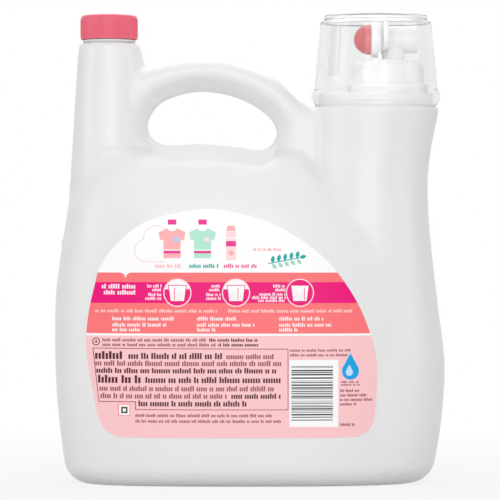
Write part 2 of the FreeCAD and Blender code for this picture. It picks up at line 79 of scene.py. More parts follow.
# Forms of the bottle, in millimetres, as in the solid model: sections are (z, left x, right x, half depth)
BODY = [(0, -112.6, 104, 60), (26, -116.6, 107.5, 60), (56, -119.6, 109, 60), (88, -120.6, 108, 60),
        (120, -119.8, 101, 60), (140, -117.2, 91, 60), (158, -114.4, 77, 58.85), (174, -111, 59, 54.98),
        (188, -102, 46, 48.42), (197, -93, 38, 41.0), (202, -86, 33, 34.4), (206, -78, 27, 20)]
VENT_COLUMN = [(150, -113.5, -52, 44), (170, -112.4, -56, 38), (186, -111.5, -60, 31),
               (202, -110.5, -62.6, 26.2), (220, -109.4, -64, 23.4), (240, -108.3, -64.4, 21.6),
               (258, -107.1, -65.4, 20.2), (271.9, -105.8, -69, 18.4)]
TAP_COLUMN = [(0, 34, 111.8, 47), (22, 32, 116.2, 49.5), (46, 30, 119.4, 50), (74, 30, 120.6, 48.5),
              (106, 32, 116.9, 45), (138, 34, 113.2, 42), (164, 36, 110.9, 39.9), (186, 37.6, 110.2, 38.6),
              (205, 38.4, 112.1, 38.2), (219, 38.4, 114.7, 38.7), (232.2, 38.7, 117.5, 39.4)]
HANDLE_TOP = [(-80, 246.5), (-71, 251.5), (-60.5, 256), (-47, 259.8), (-31.6, 261.3), (-13, 260), (3, 255),
              (19.5, 246), (31, 235.2), (40, 230.4), (52, 227)]
GRIP = [(-27.8, 241.6), (-8.2, 238), (8.2, 229), (16.1, 219.4), (15, 211), (7.5, 205.4), (-8.2, 207.1),
        (-29.3, 209), (-49.6, 208.3), (-59.4, 211.6), (-63.5, 220.9), (-57.1, 233.1), (-43.4, 239.6)]
LABEL = [(-28.3, 168.2), (-8, 165.8), (7.8, 161.6), (21.1, 155.5), (39.1, 143.5), (53, 129.7), (65, 111.6),
         (72.2, 94.7), (76.2, 80.3), (76.9, 67.1), (76.2, 50.2), (74.8, 41.2), (72.4, 35.2), (66.5, 31.3),
         (57, 30.3), (-7.8, 30.1), (-72, 30.3), (-81, 31.3), (-88, 35.2), (-91.7, 41.8), (-93.6, 49.5),
         (-98.2, 74.3), (-99.5, 88.5), (-98, 105), (-94.5, 121), (-90.2, 134.5), (-78.3, 149.5),
         (-60.2, 161.6)]
BODY_SQUARENESS = 2.8
GRIP_LAND_HALF, GRIP_FLARE, GRIP_LEDGE = 7.0, 0.845, 0.3
BASE_LIFT, BASE_RISE = 0.06, 2.5
VENT_X = -87.4
CUP_X = 78.1
TAP_X = 85.5
BARREL_Z = 274.0
VENT_NECK_TOP = 286.1
BOSS_TOP = 239.9
THREAD_LEAD = 4.23


# Settings that a user would change

def length(name, description, default):
    return FloatProperty(name=name, description=description, default=default, unit="LENGTH")


def colour(name, description, default):
    return FloatVectorProperty(name=name, description=description, default=default, subtype="COLOR")


class BottleSettings(bpy.types.PropertyGroup):
    grid: length("Grid", "Spacing of the bottle's surface net", 0.00185)
    wall: length("Wall", "Thickness of the blown wall", 0.0013)
    crease: length("Crease", "Round between the panel body and the columns", 0.006)
    colour: colour("Colour", "Plastic of the bottle", (0.84, 0.84, 0.84))


class ClosureSettings(bpy.types.PropertyGroup):
    ribs: IntProperty(name="Ribs", description="Grip ribs round the vent cap", default=90)
    rib_height: length("Rib height", "How far a rib stands out", 0.0003)
    cap: colour("Cap colour", "Plastic of the vent cap", (0.87, 0.13, 0.2))
    button: colour("Button colour", "Soft button of the tap", (0.66, 0.1, 0.11))
    tap: colour("Tap colour", "Plastic of the tap", (0.87, 0.87, 0.87))


class CupSettings(bpy.types.PropertyGroup):
    sides: IntProperty(name="Sides", description="Faces round the cup", default=160)
    marks: IntProperty(name="Marks", description="Moulded level marks on the cup", default=7)
    tint: colour("Tint", "Clear plastic of the cup", (0.93, 0.935, 0.935))


class LabelSettings(bpy.types.PropertyGroup):
    lift: length("Film", "Thickness of the label's film", 0.0002)
    coral: colour("Coral", "Upper bands", (1.0, 0.19, 0.2))
    magenta: colour("Magenta", "Middle band", (0.87, 0.0, 0.2))
    blush: colour("Blush", "Lower field", (1.0, 0.6, 0.62))


class StageSettings(bpy.types.PropertyGroup):
    distance: length("Camera distance", "From the bottle's middle", 2.06)
    eye: length("Eye height", "Of the camera above the floor", 0.1435)
    lens: FloatProperty(name="Lens", description="Focal length in millimetres", default=239.0)


# Curves, meshes and small tools

def hermite(t, start, start_slope, end, end_slope):
    """Smooth cubic from start to end, with these slopes there."""
    return ((2 * t ** 3 - 3 * t ** 2 + 1) * start + (t ** 3 - 2 * t ** 2 + t) * start_slope
            + (3 * t ** 2 - 2 * t ** 3) * end + (t ** 3 - t ** 2) * end_slope)


def smooth(table, column, z):
    """One column of a section table at heights z, by smooth cubic pieces."""
    zs = np.array([row[0] for row in table], float)
    values = np.array([row[column] for row in table], float)
    slopes = np.gradient(values, zs)
    z = np.clip(z, zs[0], zs[-1])
    i = np.clip(np.searchsorted(zs, z, side="right") - 1, 0, len(zs) - 2)
    step = zs[i + 1] - zs[i]
    return hermite((z - zs[i]) / step, values[i], step * slopes[i], values[i + 1], step * slopes[i + 1])


def closed_curve(points, steps):
    """A closed smooth curve through points, with this many pieces between neighbours."""
    p = np.array(points, float)
    before, after, beyond = np.roll(p, 1, 0), np.roll(p, -1, 0), np.roll(p, -2, 0)
    t = (np.arange(steps) / steps)[None, :, None]
    near, far = (after - before) / 2, (beyond - p) / 2
    return hermite(t, p[:, None], near[:, None], after[:, None], far[:, None]).reshape(-1, 2)


def inside_polygon(x, z, outline):
    """Whether points lie inside a closed outline."""
    inside = np.zeros(np.shape(x), bool)
    for (x1, z1), (x2, z2) in zip(outline, np.roll(outline, -1, 0)):
        crosses = (z1 > z) != (z2 > z)
        if crosses.any():
            inside ^= crosses & (x < (x2 - x1) * (z - z1) / ((z2 - z1) or 1e-12) + x1)
    return inside


def mesh_object(name, points, faces, sharp=40):
    """A smooth-shaded closed mesh from points in millimetres, with its sharper edges kept sharp."""
    mesh = bpy.data.meshes.new(name)
    mesh.from_pydata([tuple(float(c) * MM for c in p) for p in points], [], [tuple(f) for f in faces])
    mesh.update()
    mesh.shade_smooth()
    mesh.set_sharp_from_angle(angle=math.radians(sharp))
    face_outwards(mesh)
    piece = bpy.data.objects.new(name, mesh)
    bpy.context.scene.collection.objects.link(piece)
    return piece


def face_outwards(mesh):
    """Turns a closed mesh's faces outwards, whichever way its profile was drawn."""
    mesh.calc_loop_triangles()
    co = np.array([v.co for v in mesh.vertices])
    tri = np.array([t.vertices for t in mesh.loop_triangles])
    a, b, c = co[tri.T]
    if (a * np.cross(b, c)).sum() < 0:
        mesh.flip_normals()


def tube_faces(ring, rows):
    """Faces of a closed tube, whose sections have this many points each."""
    faces = [(a + i, a + (i + 1) % ring, a + ring + (i + 1) % ring, a + ring + i)
             for a in range(0, ring * (rows - 1), ring) for i in range(ring)]
    return faces + [tuple(range(ring))[::-1], tuple(range(ring * (rows - 1), ring * rows))]


def lathe(name, profile, centre, sides=128, along_x=False, sharp=40):
    """A closed solid of revolution, from a loop of (radius, height) points that may touch the axis."""
    points, faces, rows = [], [], []
    for radius, height in profile:
        count = 1 if radius < 1e-6 else sides
        rows.append((len(points), count))
        for angle in (2 * math.pi * k / sides for k in range(count)):
            across, up = radius * math.cos(angle), radius * math.sin(angle)
            place = (height, across, up) if along_x else (across, up, height)
            points.append([c + p for c, p in zip(centre, place)])
    for (a, here), (b, there) in zip(rows, rows[1:] + rows[:1]):
        for k in range(max(here, there)):
            n = (k + 1) % sides
            face = dict.fromkeys((a + k % here, a + n % here, b + n % there, b + k % there))
            if len(face) > 2:
                faces.append(tuple(face))
    return mesh_object(name, points, faces, sharp)


def rounded(corners, radius, steps=5):
    """A profile with rounded inner corners; a corner is (radius, height) and sometimes its own round."""
    result = []
    for i, corner in enumerate(corners):
        own = corner[2] if len(corner) > 2 else radius
        p = Vector(corner[:2])
        if own <= 0 or i in (0, len(corners) - 1):
            result.append(tuple(p))
            continue
        before, after = Vector(corners[i - 1][:2]) - p, Vector(corners[i + 1][:2]) - p
        cut = min(own, before.length * 0.48, after.length * 0.48)
        start, end = p + before.normalized() * cut, p + after.normalized() * cut
        for k in range(steps + 1):
            t = k / steps
            result.append(tuple(start * (1 - t) ** 2 + p * 2 * t * (1 - t) + end * t ** 2))
    return result


def boolean(piece, tool, operation):
    """Adds or cuts a closed tool and removes it."""
    modifier = piece.modifiers.new("cut", "BOOLEAN")
    modifier.operation = operation
    modifier.solver = "MANIFOLD"
    modifier.object = tool
    result = bpy.data.meshes.new_from_object(piece.evaluated_get(bpy.context.evaluated_depsgraph_get()))
    piece.modifiers.remove(modifier)
    before = len(piece.data.polygons)
    piece.data = result
    if not len(result.polygons) or len(result.polygons) == before:
        raise RuntimeError(f"the {operation.lower()} of {tool.name} changed nothing on {piece.name}")
    bpy.data.objects.remove(tool)


def finish(piece, material, body, slot, *nodes):
    """Gives a piece its material, and ties it to the frame."""
    piece.data.materials.clear()
    piece.data.materials.append(material)
    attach(piece, body)
    if nodes:
        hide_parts(*nodes)
    return piece


# Materials

def feed(tree, target, inputs):
    """Links each named input of a node where its value is a socket, and sets it where it is plain."""
    for key, value in inputs.items():
        if isinstance(value, bpy.types.NodeSocket):
            tree.links.new(value, target.inputs[key])
        else:
            target.inputs[key].default_value = value
    return target


def node(tree, kind, inputs=None, operation=None):
    made = tree.nodes.new(kind)
    if operation:
        made.operation = operation
    return feed(tree, made, inputs or {})


def moulded_surface():
    """Shared fine texture of moulded plastic: faint mottling, a varied gloss and a slight relief."""
    name = "Moulded surface"
    if name in bpy.data.node_groups:
        return bpy.data.node_groups[name]
    group = bpy.data.node_groups.new(name, "ShaderNodeTree")
    for side, labels in (("INPUT", ("Colour", "Mottle", "Gloss", "Gloss range", "Grain size")),
                         ("OUTPUT", ("Colour", "Roughness", "Height"))):
        for label in labels:
            kind = "NodeSocketColor" if label == "Colour" else "NodeSocketFloat"
            group.interface.new_socket(name=label, in_out=side, socket_type=kind)
    given = node(group, "NodeGroupInput").outputs
    place = node(group, "ShaderNodeTexCoord").outputs["Object"]
    cloud = node(group, "ShaderNodeTexNoise", {"Vector": place, "Scale": 28.0, "Detail": 3.0})
    grain = node(group, "ShaderNodeTexNoise", {"Vector": place, "Scale": given["Grain size"], "Detail": 2.0})
    centred = node(group, "ShaderNodeMath", {0: cloud.outputs["Fac"], 1: 0.5}, "SUBTRACT").outputs[0]
    dark = node(group, "ShaderNodeMath", {0: centred, 1: given["Mottle"], 2: 1.0}, "MULTIPLY_ADD")
    rough = node(group, "ShaderNodeMath", {0: centred, 1: given["Gloss range"], 2: given["Gloss"]},
                 "MULTIPLY_ADD")
    tint = node(group, "ShaderNodeVectorMath", {0: given["Colour"], "Scale": dark.outputs[0]}, "SCALE")
    node(group, "NodeGroupOutput", {"Colour": tint.outputs["Vector"], "Roughness": rough.outputs[0],
                                    "Height": grain.outputs["Fac"]})
    return group


def plastic(name, tone, gloss=0.3, gloss_range=0.08, mottle=0.02, grain=900.0, relief=0.02, soft=0.0,
            ink=None, shine=0.5):
    """A moulded plastic, rubber or film, with its colour or an ink attribute through the shared texture."""
    material = bpy.data.materials.new(name)
    material.use_nodes = True
    tree = material.node_tree
    texture = node(tree, "ShaderNodeGroup")
    texture.node_tree = moulded_surface()
    feed(tree, texture, {"Colour": (*tone, 1), "Mottle": mottle, "Gloss": gloss, "Gloss range": gloss_range,
                         "Grain size": grain})
    if ink:
        attribute = node(tree, "ShaderNodeAttribute")
        attribute.attribute_name = ink
        feed(tree, texture, {"Colour": attribute.outputs["Color"]})
    bump = node(tree, "ShaderNodeBump", {"Strength": relief, "Distance": 0.0004,
                                         "Height": texture.outputs["Height"]})
    feed(tree, tree.nodes["Principled BSDF"], {
        "Base Color": texture.outputs["Colour"], "Roughness": texture.outputs["Roughness"],
        "Normal": bump.outputs["Normal"], "IOR": 1.5, "Specular IOR Level": shine, "Subsurface Weight": soft,
        "Subsurface Radius": (0.004, 0.003, 0.0025), "Subsurface Scale": 0.6})
    return material


def clear_plastic(name, tint):
    """Clear polypropylene: slightly hazy, with faint flow lines, and letting the lamps through."""
    material = plastic(name, tint, gloss=0.07, gloss_range=0.05, mottle=0.0, grain=60.0)
    tree = material.node_tree
    shader = feed(tree, tree.nodes["Principled BSDF"], {"Transmission Weight": 0.96, "IOR": 1.3})
    passing = node(tree, "ShaderNodeBsdfTransparent", {"Color": (0.9, 0.9, 0.9, 1)})
    shadow = node(tree, "ShaderNodeLightPath").outputs["Is Shadow Ray"]
    mix = node(tree, "ShaderNodeMixShader", {"Fac": shadow, 1: shader.outputs[0], 2: passing.outputs[0]})
    feed(tree, tree.nodes["Material Output"], {"Surface": mix.outputs[0]})
    return material


# The bottle's form, as a distance field

class Field:
    """A grid over the bottle, with distances in millimetres that are negative inside."""

    def __init__(self, spacing):
        self.h = spacing
        margin = 4 * spacing
        self.low = np.array([-122 - margin, -math.ceil(64 / spacing) * spacing, -margin])
        high = np.array([122 + margin, -self.low[1], 273 + margin])
        counts = np.ceil((high - self.low) / spacing).astype(int) + 1
        axes = [self.low[i] + spacing * np.arange(counts[i]) for i in range(3)]
        self.x, self.y, self.z = np.meshgrid(*axes, indexing="ij", sparse=True)

    def slopes(self, f):
        return np.gradient(f, self.h)

    def tube(self, table, squareness):
        """Distance to a tube whose sections are squared ellipses."""
        left, right, depth = (smooth(table, c, self.z) for c in (1, 2, 3))
        u = np.abs((self.x - (left + right) / 2) / ((right - left) / 2))
        v = np.abs(self.y / depth)
        f = (u ** squareness + v ** squareness) ** (1 / squareness) - 1
        return f / np.maximum(np.sqrt(sum(g * g for g in self.slopes(f))), 1e-3)


def both(a, b, radius):
    """Overlap of two forms, with the edge between them rounded."""
    corner = np.sqrt(np.maximum(radius + a, 0) ** 2 + np.maximum(radius + b, 0) ** 2)
    return np.minimum(-radius, np.maximum(a, b)) + corner


def either(a, b, radius, field):
    """Union of two forms, with a round in the crease, and none where their faces run side by side."""
    one, other = field.slopes(a), field.slopes(b)
    along = sum(p * q for p, q in zip(one, other))
    size = np.sqrt(sum(p * p for p in one)) * np.sqrt(sum(q * q for q in other))
    r = radius * np.clip((1 - along / np.maximum(size, 1e-6)) * 1.6, 0.02, 1)
    corner = np.sqrt(np.maximum(r - a, 0) ** 2 + np.maximum(r - b, 0) ** 2)
    return np.maximum(r, np.minimum(a, b)) - corner


def bottle_field(spacing, crease):
    """The grid and the outer form of the blown bottle, with its raised base, handle and grip hole."""
    field = Field(spacing)
    x, y, z = field.x, field.y, field.z
    foot_left, foot_right = BODY[0][1], BODY[0][2]
    u = np.abs((x - (foot_left + foot_right) / 2) / ((foot_right - foot_left) / 2 - 22))
    v = np.abs(y / 38.0)
    ring = (u ** BODY_SQUARENESS + v ** BODY_SQUARENESS) ** (1 / BODY_SQUARENESS)
    raised = BASE_RISE * np.clip((1.06 - ring) / 0.12, 0, 1)
    floor = BASE_LIFT + raised * raised * (3 * BASE_RISE - 2 * raised) / BASE_RISE ** 2 - z
    body = both(both(field.tube(BODY, BODY_SQUARENESS), floor, 12.0), z - BODY[-1][0], 2.0)
    tap = both(both(field.tube(TAP_COLUMN, 2.0), floor, 12.0), z - TAP_COLUMN[-1][0], 2.5)
    vent = both(np.maximum(field.tube(VENT_COLUMN, 2.0), 152.0 - z), z - VENT_COLUMN[-1][0], 2.5)
    top = smooth(HANDLE_TOP, 1, x)
    slope = np.gradient(top[:, 0, 0], spacing)[:, None, None]
    arch = (z - top) / np.sqrt(1 + slope ** 2)
    slab = both(np.abs(y) - 18.0 + 0 * x, arch + 0 * y, 8.5)
    slab = np.maximum(slab, np.maximum(186.0 - z, np.maximum(-80.0 - x, x - 52.0)))
    form = either(body, tap, crease, field)
    form = either(form, vent, crease * 1.3, field)
    form = either(form, slab, crease * 0.8, field)
    return field, both(form, -grip_field(field), 2.2)


def grip_field(field):
    """Distance into the grip hole, which flares towards both faces, and less on the ledge below it."""
    outline = closed_curve(GRIP, 10)
    x, z = field.x[:, 0, 0][:, None], field.z[0, 0, :][None, :]
    shape = (x.shape[0], z.shape[1])
    nearest, down, weight = np.full(shape, 1e9), np.zeros(shape), np.zeros(shape)
    for (x1, z1), (x2, z2) in zip(outline, np.roll(outline, -1, 0)):
        dx, dz = x2 - x1, z2 - z1
        length = math.hypot(dx, dz)
        t = np.clip(((x - x1) * dx + (z - z1) * dz) / length ** 2, 0, 1)
        gap = (x - x1 - t * dx) ** 2 + (z - z1 - t * dz) ** 2
        nearest = np.minimum(nearest, gap)
        near = length / (gap + 4.0) ** 2
        down += near * (-dx / length)
        weight += near
    flat = np.sqrt(nearest)
    flat[inside_polygon(x + 0 * z, z + 0 * x, outline)] *= -1
    ledge = np.clip((down / weight - 0.35) / 0.45, 0, 1)[:, None, :]
    flare = GRIP_FLARE + (GRIP_LEDGE - GRIP_FLARE) * ledge * ledge * (3 - 2 * ledge)
    depth = np.abs(field.y) - GRIP_LAND_HALF
    growth = flare * 0.5 * (depth + np.sqrt(depth ** 2 + 1.0))
    rate = flare * 0.5 * (1 + depth / np.sqrt(depth ** 2 + 1.0))
    return (flat[:, None, :] - growth) / np.sqrt(1 + rate ** 2)


def net(field, values, level, step=1):
    """Closed mesh of the level surface of a field."""
    grid = openvdb.FloatGrid(background=5.0)
    grid.copyFromArray(np.ascontiguousarray(np.clip(values[::step, ::step, ::step], -5, 5)))
    grid.transform = openvdb.createLinearTransform(voxelSize=field.h * step)
    points, quads = grid.convertToQuads(isovalue=level)
    return points + field.low, quads


def thread(name, radius, crest, low, turns, width, phase=0.0):
    """A closed screw ridge round the vent's axis, whose ends run out."""
    sides = 64
    steps = int(turns * sides)
    points = []
    for k in range(steps + 1):
        angle = 2 * math.pi * k / sides + phase
        fade = min(1.0, k / (sides * 0.08), (steps - k) / (sides * 0.08))
        middle = low + THREAD_LEAD * k / sides
        top = radius + (crest - radius) * max(fade, 0.05)
        root = radius - math.copysign(0.3, crest - radius)
        points += [(VENT_X + r * math.cos(angle), r * math.sin(angle), middle + width * up)
                   for r, up in ((root, -0.5), (top, -0.18), (top, 0.18), (root, 0.5))]
    return mesh_object(name, points, tube_faces(4, steps + 1))


class BOTTLE_OT_shell(bpy.types.Operator):
    """Make the blow-moulded bottle, hollow, with its handle, boss and necks"""
    bl_idname = "bottle.shell"
    bl_label = "Bottle"

    def execute(self, context):
        settings = context.scene.bottle
        wall = settings.wall / MM
        field, form = bottle_field(settings.grid / MM, settings.crease / MM)
        outer, outer_faces = net(field, form, 0.0)
        inner, inner_faces = net(field, form, -wall, 2)
        points = np.concatenate([outer, inner])
        flipped = inner_faces[:, ::-1] + len(outer)
        piece = mesh_object("bottle_shell", points, np.concatenate([outer_faces, flipped]))
        self.add_necks(piece)
        finish(piece, plastic("Bottle plastic", settings.colour, gloss=0.34, soft=0.15, relief=0.03),
               "bottle", "bottle_white", "bottle")
        return {"FINISHED"}

    def add_necks(self, piece):
        """Adds the boss and both necks, with the vent's thread, and bores them into the bottle."""
        boss = [(0, 230.5), (35.9, 230.5), (35.9, 234.8, 0.5), (35.3, 235.2, 0.3), (35.3, BOSS_TOP, 0.8),
                (0, BOSS_TOP)]
        tap_neck = [(0, 236.0), (17.5, 236.0), (17.5, 256.4, 0.5), (0, 256.4)]
        vent_neck = [(0, 269.0), (14.85, 269.0), (14.85, 272.4, 0.3), (16.4, 272.4, 0.4), (16.4, 273.6, 0.4),
                     (14.85, 273.6, 0.3), (14.85, VENT_NECK_TOP, 0.5), (0, VENT_NECK_TOP)]
        self.turn(piece, "UNION", ("boss", boss, CUP_X), ("tap_neck", tap_neck, TAP_X),
                  ("vent_neck", vent_neck, VENT_X))
        boolean(piece, thread("vent_thread", 14.85, 15.95, 276.0, 1.6, 2.0), "UNION")
        boss_room = [(0, 225.0), (34.0, 225.0), (34.0, 238.6, 1.2), (0, 238.6)]
        tap_bore = [(0, 233.0), (15.6, 233.0), (15.6, 257.5), (0, 257.5)]
        vent_bore = [(0, 262.0), (12.6, 262.0), (12.6, 287.5), (0, 287.5)]
        self.turn(piece, "DIFFERENCE", ("boss_room", boss_room, CUP_X), ("tap_bore", tap_bore, TAP_X),
                  ("vent_bore", vent_bore, VENT_X))
        piece.data.shade_smooth()
        piece.data.set_sharp_from_angle(angle=math.radians(38))

    def turn(self, piece, operation, *tools):
        for name, corners, x in tools:
            boolean(piece, lathe(name, rounded(corners, 0), (x, 0, 0)), operation)


# Labels, whose places are in the photograph's pixels

PIXEL, MIDDLE_PIXEL, MIDDLE_Z = 0.602, 250, 143.5
BODY_MIDDLE, BODY_HALF_WIDTH, BODY_HALF_DEPTH, CAMERA_REACH = -6, 114, 60, 2000
WHITE, PALE, PLUM, ASH = (1, 1, 1), (1.0, 0.8, 0.8), (0.1, 0.015, 0.03), (0.34, 0.1, 0.12)
# Lines of small print, as (left, right, middle)
HEADING_LINES = ((101.5, 136, 287), (103.5, 136, 293))
CUP_LINES = ((147, 163, 286.4), (152, 163, 290.2), (148, 163, 295.0), (145, 163, 298.8), (211, 222, 286.4),
             (209, 222, 290.2), (206, 222, 295.0), (206, 222, 298.8), (273, 286, 286.4), (275, 286, 290.2),
             (259, 286, 294.6), (252, 286, 297.9), (258, 286, 301.0))
BAND_LINES = ((95, 218, 311.4), (228, 353, 311.4))
STEP_LINES = ((112, 174, 319.2), (112, 168, 325.4), (112, 142, 330.3), (196.7, 238, 319.2),
              (196.7, 255, 325.4), (196.7, 217, 330.3), (279, 324, 319.2), (279, 332, 325.4),
              (279, 299, 330.3))
# Lines of text, as (left, right, middle, height, pitch, bold)
INTRO_TEXT = ((102, 207, 340.6, 3.3, 1.7, 0), (209, 258, 340.6, 3.3, 1.7, 1), (102, 216, 345.4, 3.3, 1.7, 0),
              (218, 261, 345.4, 3.3, 1.7, 1))
MAIN_TEXT = ((94.5, 127, 356.6, 8.0, 3.5, 1), (128, 224, 357, 6.2, 2.6, 1), (226, 277, 357.4, 5.2, 2.2, 0),
             (95, 282, 364.3, 5.4, 2.2, 0), (96, 278, 371.6, 5.4, 2.35, 1), (97.5, 143, 380.6, 8.0, 3.4, 1),
             (145, 283, 381, 6.2, 2.6, 1), (99, 276, 389.6, 5.4, 2.2, 0), (100, 229, 397, 5.4, 2.2, 0),
             (231, 281, 397, 5.4, 2.3, 1), (138, 248, 404.6, 5.8, 2.4, 1), (135, 274, 416.2, 3.2, 1.6, 0),
             (135, 283, 421.9, 3.2, 1.6, 0))
# Lines beside the striped field, as (left, right, middle, height)
SIDE_LINES = ((290, 352, 350.8, 2.8), (290, 350, 355.6, 2.8), (341, 360, 382.6, 2.0), (341, 361, 385.4, 2.0),
              (340, 360, 391.4, 3.0), (340, 368, 395.9, 3.0), (340, 373, 400.4, 3.0), (340, 357, 404.9, 3.0),
              (340, 356, 425.4, 3.0))
FRAME_CORNERS = ((92.4, 348.3), (288.4, 348.9), (288.4, 410.4), (135.0, 410.4), (135.0, 402.6), (98.4, 402.6))
FRAME_INSIDE = ((93.3, 349.0), (287.7, 349.6), (287.7, 409.7), (135.7, 409.7), (135.7, 401.9), (99.0, 401.9))
TAB = ((119.5, 272.4), (122.8, 273.5), (124.6, 275.6), (125.4, 278.6), (126.2, 275.6), (128, 273.5),
       (131.3, 272.4), (131.3, 268), (119.5, 268))
TWIG = ((268, 263.2), (300, 257.2), (300, 258.2), (268, 264.2))
SHIRT = ((-5, 228), (-13.5, 232.5), (-11.8, 240.5), (-8.6, 239.6), (-8.6, 258.2), (8.6, 258.2), (8.6, 239.6),
         (11.8, 240.5), (13.5, 232.5), (5, 228), (3.4, 230.2), (0, 231.2), (-3.4, 230.2))


def body_face(x, z, lift, side):
    """The body's surface on one face, moved out by lift, in millimetres."""
    left, right, depth = (smooth(BODY, c, np.asarray(z, float)) for c in (1, 2, 3))
    u = np.abs((np.asarray(x) - (left + right) / 2) / ((right - left) / 2 + lift))
    return side * (depth + lift) * np.maximum(1 - u ** BODY_SQUARENESS, 0) ** (1 / BODY_SQUARENESS)


def spot(x, y):
    """Place on the label, in millimetres, of one of the photograph's pixels; its ends curve back a little."""
    flat = (x - MIDDLE_PIXEL) * PIXEL
    across = min(abs(flat - BODY_MIDDLE) / BODY_HALF_WIDTH, 0.99)
    back = BODY_HALF_DEPTH * (1 - (1 - across ** BODY_SQUARENESS) ** (1 / BODY_SQUARENESS))
    return np.array((flat * (1 + back / CAMERA_REACH), MIDDLE_Z + (MIDDLE_PIXEL - y) * PIXEL))


def shape(corners):
    return np.array([spot(x, y) for x, y in corners])


def box(x1, y1, x2, y2):
    return shape([(x1, y1), (x1, y2), (x2, y2), (x2, y1)])


def disc(x, y, radius, sides=28, start=0.0):
    """A circle or an even polygon, its radius in millimetres."""
    turns = 2 * math.pi * np.arange(sides) / sides + start
    return spot(x, y) + radius * np.column_stack([np.cos(turns), np.sin(turns)])


def word_row(x1, x2, y, height, pitch, rng):
    """Upright ticks in groups, which stand for a line of small print without being letters."""
    blocks, x = [], x1
    while x < x2 - pitch:
        count = min(rng.choice(range(2, 9)), int((x2 - x) / pitch))
        for k in range(count):
            top = y - height * (0.62 if rng.random() < 0.25 else 0.38)
            blocks.append(box(x + k * pitch + pitch * 0.12, top, x + (k + 1) * pitch - pitch * 0.16,
                              y + height * 0.36))
        x += (count + 0.9) * pitch
    return blocks


def small_print(tone, height, pitch, lines, rng):
    return [(tone, tick) for x1, x2, y in lines for tick in word_row(x1, x2, y, height, pitch, rng)]


def text_print(lines, rng):
    return [(PLUM if bold else ASH, tick) for x1, x2, y, height, pitch, bold in lines
            for tick in word_row(x1, x2, y, height, pitch, rng)]


def bands(settings):
    """The fields of colour that both labels share."""
    return [(tuple(settings.coral), box(60, 272.6, 400, 333.7)),
            (tuple(settings.magenta), box(60, 282.2, 400, 303.2)),
            (tuple(settings.blush), box(60, 336, 400, 445))]


def print_layers(settings):
    """Everything printed on the back label, from the lowest layer up, as (colour, polygon)."""
    rng = random.Random(11)
    coral, magenta, blush = tuple(settings.coral), tuple(settings.magenta), tuple(settings.blush)
    layers = bands(settings) + [(WHITE, shape(TAB))] + motif_layers(rng)
    for x, level in ((177.3, 0.35), (236, 0.6), (300, 0.85)):
        layers += measure_layers(x, 292.8, level, magenta)
    layers += small_print((1, 0.86, 0.92), 4.6, 2.3, HEADING_LINES, rng)
    layers += small_print((1, 0.8, 0.88), 3.2, 1.5, CUP_LINES, rng)
    layers += small_print((1, 0.62, 0.6), 3.4, 1.75, BAND_LINES, rng)
    layers += small_print((1, 0.84, 0.84), 3.9, 1.9, STEP_LINES, rng)
    layers += text_print(INTRO_TEXT, rng)
    layers += [(PLUM, disc(96, 342, 2.4)), (blush, disc(96, 342, 1.85)),
               (PLUM, disc(96, 342, 1.1, 3, math.pi / 2)), ((0.28, 0.03, 0.05), shape(FRAME_CORNERS)),
               (blush, shape(FRAME_INSIDE))]
    layers += text_print(MAIN_TEXT, rng)
    layers += [(coral, box(118.2, 404.4, 130.2, 416.6)), (WHITE, box(119.0, 405.2, 129.4, 415.8)),
               ((0.05, 0.05, 0.05), box(121.0, 407.4, 127.4, 413.8)),
               (WHITE, box(122.6, 409, 125.8, 412.2)), (WHITE, box(289.5, 360, 338.4, 427.2))]
    y = 366.2
    while y < 420:
        thick = rng.choice((0.55, 0.6, 0.95, 1.5))
        layers.append(((0.03, 0.03, 0.03), box(291.4, y, 333.0, y + thick)))
        y += thick + rng.choice((0.8, 0.9, 1.3, 1.9))
    layers += text_print([(*row, 1.5, False) for row in SIDE_LINES], rng)
    return layers + [((0.0, 0.38, 0.82), drop(350.6, 371.5, 5.2)),
                     ((0.55, 0.8, 1.0), drop(349.4, 372.6, 2.2))]


def drop(x, y, radius):
    """A water drop, its round part of this radius."""
    middle = spot(x, y)
    round_part = [middle - radius * np.array((math.cos(a), math.sin(a)))
                  for a in np.linspace(-0.15 * math.pi, 1.15 * math.pi, 26)]
    return np.array(round_part + [middle + np.array((0.0, radius * 2.1))])


def leaf(x, y, length, angle, plump=0.26):
    """A pointed leaf from its stalk's end, at an angle from the right."""
    along = np.array((math.cos(angle), math.sin(angle)))
    across = np.array((-math.sin(angle), math.cos(angle)))
    root = spot(x, y)
    upper, lower = ([root + length * (t * along + side * plump * math.sin(math.pi * t) * across)
                     for t in np.linspace(0, 1, 9)[:-1]] for side in (1, -1))
    return np.array(upper + [root + length * along] + lower[:0:-1])


def measure_layers(x, y, level, magenta):
    """A ring with a plain measuring cup in it, filled to a level."""
    layers = [(PALE, disc(x, y, 8.5, 44)), (magenta, disc(x, y, 7.85, 44))]
    if level < 0.8:
        cap = [(x + 13 * math.cos(a), y - 13 * math.sin(a)) for a in np.linspace(0.28, math.pi - 0.28, 18)]
        rim = [(x - 9.4, y - 7.8), (x + 9.4, y - 7.8), (x + 8.9, y - 3.2), (x - 8.9, y - 3.2)]
        layers += [(WHITE, shape(cap)), (magenta, shape(rim))]
    cup = [(x - 8.6, y - 7), (x + 8.6, y - 7), (x + 6.6, y + 8.2), (x - 6.6, y + 8.2)]
    layers.append((WHITE, shape(cup)))
    for k in range(5):
        left = x - 5.6 + k * 2.4
        filled = k == int(level * 5)
        tall = 13.5 if filled else 8 + (k % 2) * 2
        layers.append((magenta if filled else (1.0, 0.72, 0.82),
                       box(left, y + 7.4 - tall * 0.9, left + 0.8, y + 7.4)))
    return layers


